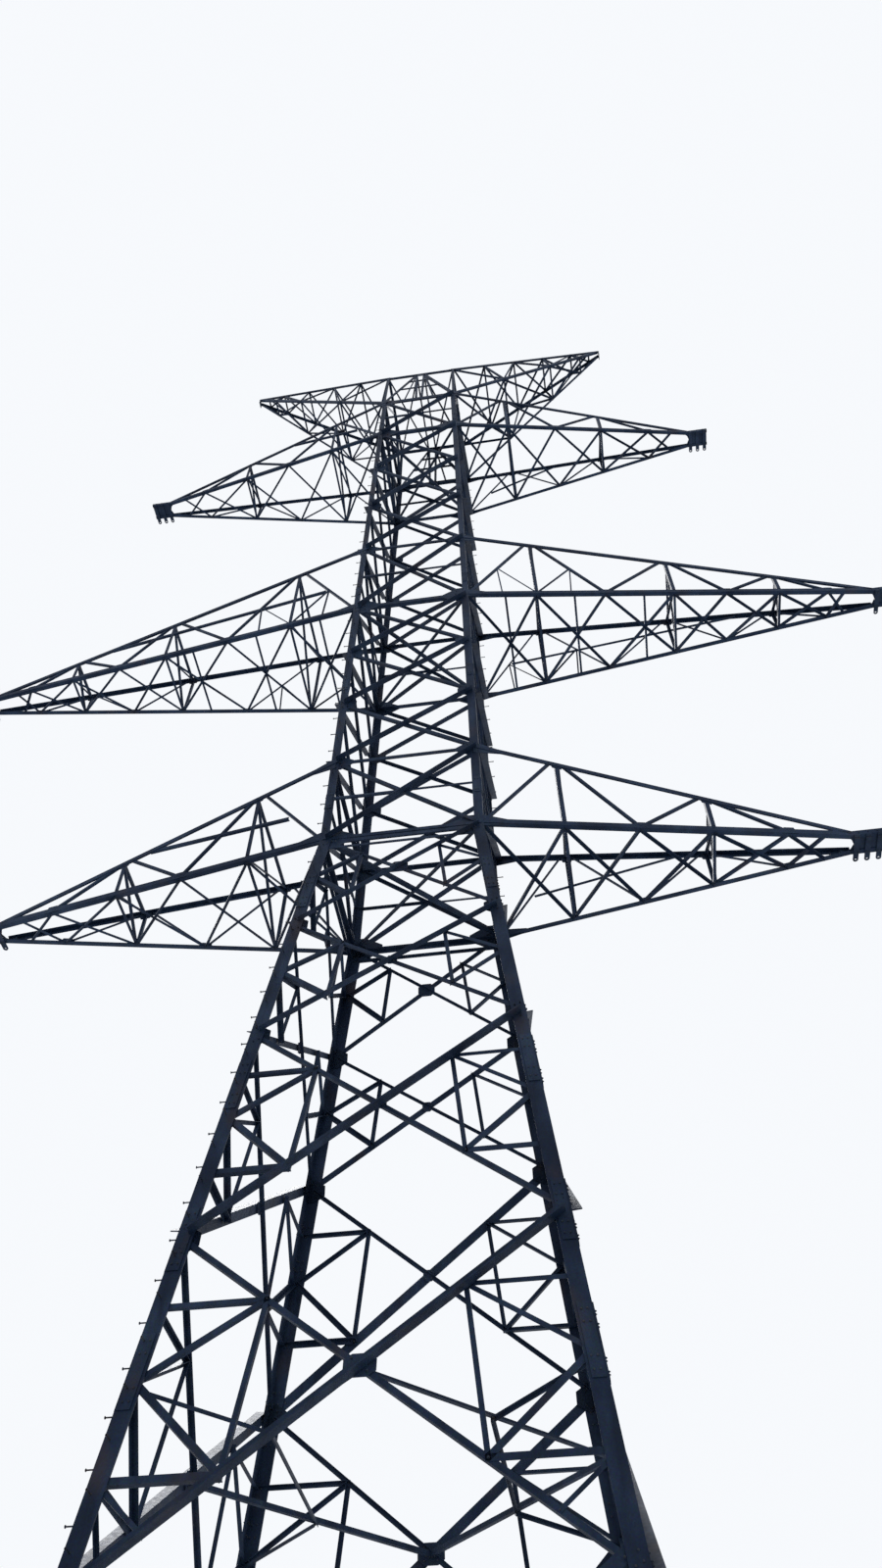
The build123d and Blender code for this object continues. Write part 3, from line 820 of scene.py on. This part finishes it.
# The nose: insets of its plates, the hollow in its bottom plate, a cheek's outline from the end of the taper,
# and the row of bolts
NOSE_END_INSET, SHELF_INSET, CHEEK_INSET = 0.008, 0.01, 0.009
HOLLOW_START, HOLLOW_DEPTH, SHELF = 0.10, 0.12, 0.7 * PLATE
CHEEK = ((-0.12, 0.009), (NOSE - 0.02, 0.009), (NOSE - 0.02, 0.066), (0.0, 0.068), (-0.12, 0.085))
NOSE_BOLTS, NOSE_BOLT_START, NOSE_BOLT_PITCH, NOSE_BOLT_RISE, NOSE_GRIP = 6, 0.25, 0.11, 0.036, 0.017


def nose_plates(work, hand, reach, bottom):
    """The plates that close the parallel nose: a hollowed bottom plate, an end plate and two cheeks."""
    out = Vector((hand, 0, 0))
    end = reach + NOSE
    outline = (-NOSE_HALF, 0), (NOSE_HALF, 0), (NOSE_HALF, CHORD), (-NOSE_HALF, CHORD)
    face = [(hand * (end - NOSE_END_INSET), y, bottom + z) for y, z in outline]
    work.plate(face, -out, CHORD * WALL_SHARE)
    half, start = NOSE_HALF - SHELF_INSET, reach - HOLLOW_START
    across = (-half, -half / 2, 0, half / 2, half)
    outline = [(start + HOLLOW_DEPTH * (1 - (y / half) ** 2), y) for y in across]
    outline += [(end - SHELF_INSET, half), (end - SHELF_INSET, -half)]
    shelf = [(hand * x, y, bottom + CLEARANCE + CHORD * WALL_SHARE) for x, y in outline]
    work.plate(shelf, UP, SHELF)
    for side in (-1, 1):
        inward = Vector((0, -side, 0))
        cheek = [(hand * (reach + x), side * (NOSE_HALF - CHEEK_INSET), bottom + z) for x, z in CHEEK]
        work.plate(cheek, inward)
        for n in range(NOSE_BOLTS):
            x = reach - NOSE_BOLT_START + NOSE_BOLT_PITCH * n
            place = Vector((hand * x, side * NOSE_HALF, bottom + NOSE_BOLT_RISE))
            work.bolt(place, inward, CHORD, NOSE_GRIP)


def horn(hand):
    """An earthwire arm, from the peak's corners up to its narrow tip."""
    low_ends = (HEAD_HALF, -WAIST_HALF, HEAD_TOP), (HORN_REACH, -HORN_TIP_HALF, HORN_TOP - HORN_CHORD)
    high_ends = (PEAK_HALF, -PEAK_DEPTH, PEAK_TOP), (HORN_REACH, -HORN_TIP_HALF, HORN_TOP)
    arm = Arm(hand, low_ends, high_ends, HORN_HEADS, (HORN_CHORD, HORN_CHORD))
    side_name = "right" if hand > 0 else "left"
    work = Steelwork(f"earthwire_arm_angles_{side_name}")
    arm.chords(work)
    for side in (1, -1):
        for foot, heads in zip(HORN_FEET, HORN_FANS):
            for head in heads:
                start, end = arm.web_node(foot, 0, side), arm.web_node(head, 1, side)
                work.angle(start, end, arm.inward(side), HORN_BRACE)
    for top, shares, plate in ((0, HORN_FEET, HORN_FOOT_PLATE), (1, HORN_HEADS, HORN_HEAD_PLATE)):
        for a, b in zip((0, *shares), shares):
            arm.crossed(work, a, b, top, HORN_BRACE)
            arm.spreader(work, b, top, HORN_BRACE)
        arm.node_plates(work, [(share, top) for share in shares], *plate)
    work.assemble([f"earthwire_arm_{side_name}"], arm_steel)


# The peak: the posts' wall, the inset of its rails, the twin tops of its V's, and the rises of their feet
PEAK_WALL, PEAK_RAIL_INSET, APEX_HALF, APEX_DROP = 0.006, 0.03, 0.08, 0.05
PEAK_FOOT_RISE, INNER_FOOT_RISE = 0.04, 0.05
# The inner bars of a V, as distances from the middle and flanges, and its ties as shares of the height
INNER_BARS = ((0.06, PEAK_BRACE), (0.30, TIE))
PEAK_TIES = (0.45, 0.72)
# The plate at the twin tops, as distances from the middle and drops
TOP_PLATE, TOP_PLATE_DEPTH = ((-0.15, 0.0), (0.15, 0.0), (0.10, 0.16), (-0.10, 0.16)), 0.008
# The roof's thin bars
ROOF_DROP, ROOF_START_INSET, ROOF_END_INSET = 0.06, 0.03, 0.04


def peak():
    """Corner posts, rails, inverted V's with twin tops, and the roof's fans above the head."""
    work = Steelwork("earthwire_peak_angles")
    for quarter in range(4):
        face = Face(quarter, peak_half, peak_depth, PEAK_WALL, PEAK_FLANGE / 2)
        inward, side = face.turn @ Vector((0, 1, 0)), face.turn @ Vector((-1, 0, 0))
        bottom, top = (face.point(face.half(z), z) for z in (HEAD_TOP, PEAK_TOP))
        work.edge(bottom, top, side, inward, PEAK_FLANGE)
        for z in (HEAD_TOP + PEAK_RAIL_INSET, PEAK_TOP - PEAK_RAIL_INSET):
            face.bar(work, face.node(-1, z), face.node(1, z), PEAK_FLANGE)
        for hand in (-1, 1):
            apex = (hand * APEX_HALF, PEAK_TOP - APEX_DROP)
            face.bar(work, face.node(hand, HEAD_TOP + PEAK_FOOT_RISE), apex, PEAK_BRACE)
            if quarter % 2 == 0:
                for x, size in INNER_BARS:
                    face.bar(work, (hand * x, HEAD_TOP + INNER_FOOT_RISE), apex, size)
        if quarter % 2 == 0:
            for share in PEAK_TIES:
                level = HEAD_TOP + share * (PEAK_TOP - HEAD_TOP)
                half = APEX_HALF + (face.half(HEAD_TOP) - APEX_HALF) * (1 - share)
                face.bar(work, (-half, level), (half, level), TIE, bolted=1, sunk=HEAD_TIE_SUNK)
        work.plate([face.point(x, PEAK_TOP - z, TOP_PLATE_DEPTH) for x, z in TOP_PLATE], face.inward)
    level = PEAK_TOP - ROOF_DROP
    for side in (-1, 1):
        for hand in (-1, 1):
            start = Vector((hand * APEX_HALF, side * (PEAK_DEPTH - ROOF_START_INSET), level))
            for x in (hand * (PEAK_HALF - ROOF_END_INSET), hand * APEX_HALF):
                end = Vector((x, -side * (PEAK_DEPTH - ROOF_END_INSET), level))
                work.angle(start, end, UP * side, TIE)
    work.assemble(["earthwire_peak"], arm_steel)


# Fittings on the kept solids


def leg_line(sx, sy, z):
    """The outer corner of a leg at a height."""
    half_x = body_half(z) if z < WAIST else head_half(z)
    half_y = body_half(z) if z < WAIST else WAIST_HALF
    return Vector((sx * half_x, sy * half_y, z))


def flanges(sx, sy):
    """A leg's two flanges, each as the way from the corner along it and the way out of it."""
    return (Vector((-sx, 0, 0)), Vector((0, sy, 0))), (Vector((0, -sy, 0)), Vector((sx, 0, 0)))


# Splices: heights, and the half length, reach, leg's wall and rows of bolts below and above the waist
SPLICES = (2.1, 5.2, 6.35, 8.05, 11.0, 12.75, 15.4, 18.1, 21.5, 24.8)
BODY_SPLICE = 0.30, 0.105, LEG_WALL, (-0.8, -0.45, 0.45, 0.8)
HEAD_SPLICE = 0.15, 0.075, HEAD_WALL, (-0.7, 0.7)
SPLICE_ROWS, SPLICE_GAP = (0.3, 0.75), 0.0005


def splices(sx, sy, name):
    """Cover plates with bolts over both flanges of a leg, where its lengths meet."""
    work = Steelwork(f"leg_splices_{name}")
    for z in SPLICES:
        half, reach, wall, steps = BODY_SPLICE if z < WAIST else HEAD_SPLICE
        low, high = leg_line(sx, sy, z - half), leg_line(sx, sy, z + half)
        for flat, face in flanges(sx, sy):
            near, far = flat * EDGE + face * SPLICE_GAP, flat * (reach + EDGE) + face * SPLICE_GAP
            work.plate([low + near, high + near, high + far, low + far], face)
            for row in SPLICE_ROWS:
                for step in steps:
                    place = leg_line(sx, sy, z + step * half) + flat * (EDGE + reach * row) + face * PLATE
                    work.bolt(place, -face, BRACE, wall + PLATE)
    work.assemble()


# Step bolts, with the height of the lowest and the height that they leave free in all
STEP_PITCH, STEP_LENGTH, STEP_WIDTH = 0.1875, 0.085, 0.012
LOWEST_STEP, STEPS_FREE, STEP_INSET, STEP_SUNK = 1.5, 1.6, 0.045, 0.008


def step_bolts(sx, sy, name):
    """Climbing bolts up a leg, in turn on one flange and on the other."""
    work = Steelwork(f"step_bolts_{name}")
    for n in range(int((HEAD_TOP - STEPS_FREE) / STEP_PITCH)):
        flat, face = flanges(sx, sy)[1 - n % 2]
        place = leg_line(sx, sy, LOWEST_STEP + n * STEP_PITCH) + flat * STEP_INSET - face * STEP_SUNK
        work.steps.append((place, face, UP, (STEP_WIDTH, STEP_WIDTH, STEP_LENGTH)))
    work.assemble()


# Ribs: thickness, height of the toe, and rows of place along a flange, start and end across it, and height
RIB, RIB_TOE = 0.012, 0.03
RIBS = ((0.03, -0.004, 0.110, 0.24), (0.115, -0.004, 0.110, 0.24), (0.05, -0.022, -0.142, 0.2))


def base_ribs():
    """Stiffening ribs between each leg and its base plate."""
    work = Steelwork("base_ribs")
    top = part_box("base_plates")[1].z
    for sx, sy in SQUARE:
        for flat, face in flanges(sx, sy):
            for along, start, end, height in RIBS:
                foot, toe = (leg_line(sx, sy, top) + flat * along + face * across for across in (start, end))
                work.plate([foot, toe, toe + UP * RIB_TOE, foot + UP * height], flat, RIB)
    work.assemble()


# Hanger bars and their bolts
HANGER_WIDTH, HANGER_HOLE, HANGER = 0.066, 0.014, 0.016
ROUND_STEPS, HOLE_SIDES = 12, 18
HANGER_START, HANGER_PITCH, HANGER_COUNT = 0.052, 0.138, 3
HANGER_BOLT_INSET, HANGER_BOLT_HALF, HANGER_GRIP = 0.04, 0.016, 0.024


def hanger_bar(low, high):
    """A level bar along y with a square near end, and a round far end with a hole in it."""
    curve = bpy.data.curves.new("bar", "CURVE")
    curve.dimensions, curve.fill_mode = "2D", "BOTH"
    curve.extrude = HANGER / 2
    half = HANGER_WIDTH / 2
    centre = high - half
    turns = [math.pi * n / ROUND_STEPS for n in range(ROUND_STEPS + 1)]
    outline = [(half * math.cos(turn), centre + half * math.sin(turn)) for turn in turns]
    outline += [(-half, low), (half, low)]
    for ring in (outline, [(x, centre + y) for x, y in polygon(HOLE_SIDES, HANGER_HOLE)]):
        spline = curve.splines.new("POLY")
        spline.points.add(len(ring) - 1)
        spline.points.foreach_set("co", [number for x, y in ring for number in (x, y, 0, 1)])
        spline.use_cyclic_u = True
    holder = bpy.data.objects.new("bar", curve)
    mesh = bpy.data.meshes.new_from_object(holder)
    bpy.data.objects.remove(holder)
    return mesh


def hangers(name, bottom, reach):
    """The bars under a pair of noses, with the bolts that hold them to the chords."""
    low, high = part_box(f"{name}_hangers")
    bar = hanger_bar(low.y, high.y)
    steps = [reach + HANGER_START + HANGER_PITCH * n for n in range(HANGER_COUNT)]
    spots = [hand * x for hand in (-1, 1) for x in steps]
    whole = bmesh.new()
    for x in spots:
        part = bar.copy()
        part.transform(Matrix.Translation((x, 0, bottom - HANGER / 2)))
        whole.from_mesh(part)
    bmesh.ops.remove_doubles(whole, verts=whole.verts, dist=1e-5)
    bmesh.ops.recalc_face_normals(whole, faces=whole.faces)
    piece = placed(f"{name}_hanger_bars", mesh_of(whole, f"{name}_hanger_bars"))
    piece.data.materials.append(plate_steel)
    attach(piece, "root")
    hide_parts(f"{name}_hangers")
    work = Steelwork(f"{name}_hanger_bolts")
    for x in spots:
        for y in (HANGER_BOLT_INSET - NOSE_HALF, NOSE_HALF - HANGER_BOLT_INSET):
            for shift in (-HANGER_BOLT_HALF, HANGER_BOLT_HALF):
                place = Vector((x + shift, y, bottom - HANGER))
                work.bolt(place, UP, BRACE, HANGER_GRIP)
    work.assemble()


# Building the tower

for quarter in range(4):
    body_angles(quarter)
    head_angles(quarter)
for sy, row in ((-1, "near"), (1, "far")):
    for sx, column in ((1, "right"), (-1, "left")):
        base_corner(sx, sy, f"{row}_{column}")
        splices(sx, sy, f"{row}_{column}")
step_bolts(-1, -1, "near_left")
step_bolts(1, 1, "far_right")
hip_frame()
base_ribs()
for name, (bottom, top, reach, nodes, rail) in ARMS.items():
    plan_frame(name, bottom)
    hangers(name, bottom, reach)
    for hand in (-1, 1):
        crossarm(name, bottom, top, reach, nodes, rail, hand)
for hand in (-1, 1):
    horn(hand)
peak()

for label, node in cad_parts.items():
    if "leg" in label:
        steel = leg_steel
    elif "base_plates" in label:
        steel = base_steel
    elif "plates" in label or "hangers" in label:
        steel = plate_steel
    else:
        steel = bracing_steel
    node.data.materials.clear()
    node.data.materials.append(steel)

# Floor, light and camera


def plain(name, colour, roughness):
    """A plain, even finish."""
    material = bpy.data.materials.new(name)
    material.use_nodes = True
    shader = material.node_tree.nodes["Principled BSDF"]
    put(shader, {"Base Color": (*colour, 1), "Roughness": roughness})
    return material


FLOOR_HALF = 150
floor = placed("floor", bpy.data.meshes.new("floor"))
floor.data.from_pydata([(x * FLOOR_HALF, y * FLOOR_HALF, 0) for x, y in SQUARE], [], [(0, 1, 2, 3)])
floor.data.materials.append(plain("floor_finish", (0.80, 0.80, 0.79), 0.9))

world = bpy.data.worlds.new("studio")
bpy.context.scene.world = world
world.use_nodes = True
nodes, link = world.node_tree.nodes, world.node_tree.links.new
nodes.clear()
rays = nodes.new("ShaderNodeLightPath")
backdrop_rays = nodes.new("ShaderNodeMath")
backdrop_rays.operation = "MAXIMUM"
link(rays.outputs["Is Camera Ray"], backdrop_rays.inputs[0])
link(rays.outputs["Is Glossy Ray"], backdrop_rays.inputs[1])
shown, light = nodes.new("ShaderNodeBackground"), nodes.new("ShaderNodeBackground")
put(shown, {"Color": (0.93, 0.95, 0.98, 1), "Strength": 1.0})
put(light, {"Color": (0.95, 0.97, 1.0, 1), "Strength": 0.55})
choice, output = nodes.new("ShaderNodeMixShader"), nodes.new("ShaderNodeOutputWorld")
link(backdrop_rays.outputs["Value"], choice.inputs["Fac"])
link(light.outputs["Background"], choice.inputs[1])
link(shown.outputs["Background"], choice.inputs[2])
link(choice.outputs["Shader"], output.inputs["Surface"])

for name, energy, spread_angle, direction in (
    ("key", 2.2, 25, (0.30, -0.60, -0.80)),
    ("fill", 0.5, 60, (-0.50, 0.80, -0.30)),
):
    lamp = bpy.data.lights.new(name, "SUN")
    lamp.energy, lamp.angle = energy, math.radians(spread_angle)
    placed(name, lamp).rotation_euler = Vector(direction).to_track_quat("-Z", "Y").to_euler()

# The camera stands low in front of the near right leg and looks up. Its focal length is 1250 pixels of the
# picture's height of 1600
EYE = Vector((1.8623, -10.4354, 0.7360))
YAW, PITCH, ROLL = -0.14504, 0.90323, 0.0011
FOCAL_SHARE = 1250 / 1600
SENSOR, FARTHEST = 36, 1000
camera = bpy.data.cameras.new("camera")
camera.sensor_width = SENSOR
camera.lens = SENSOR * FOCAL_SHARE
camera.clip_end = FARTHEST
eye = placed("camera", camera)
heading, tilt = Matrix.Rotation(-YAW, 4, "Z"), Matrix.Rotation(math.pi / 2 + PITCH, 4, "X")
eye.matrix_world = Matrix.Translation(EYE) @ heading @ tilt @ Matrix.Rotation(ROLL, 4, "Z")
bpy.context.scene.camera = eye
bpy.context.scene.view_settings.view_transform = "Standard"
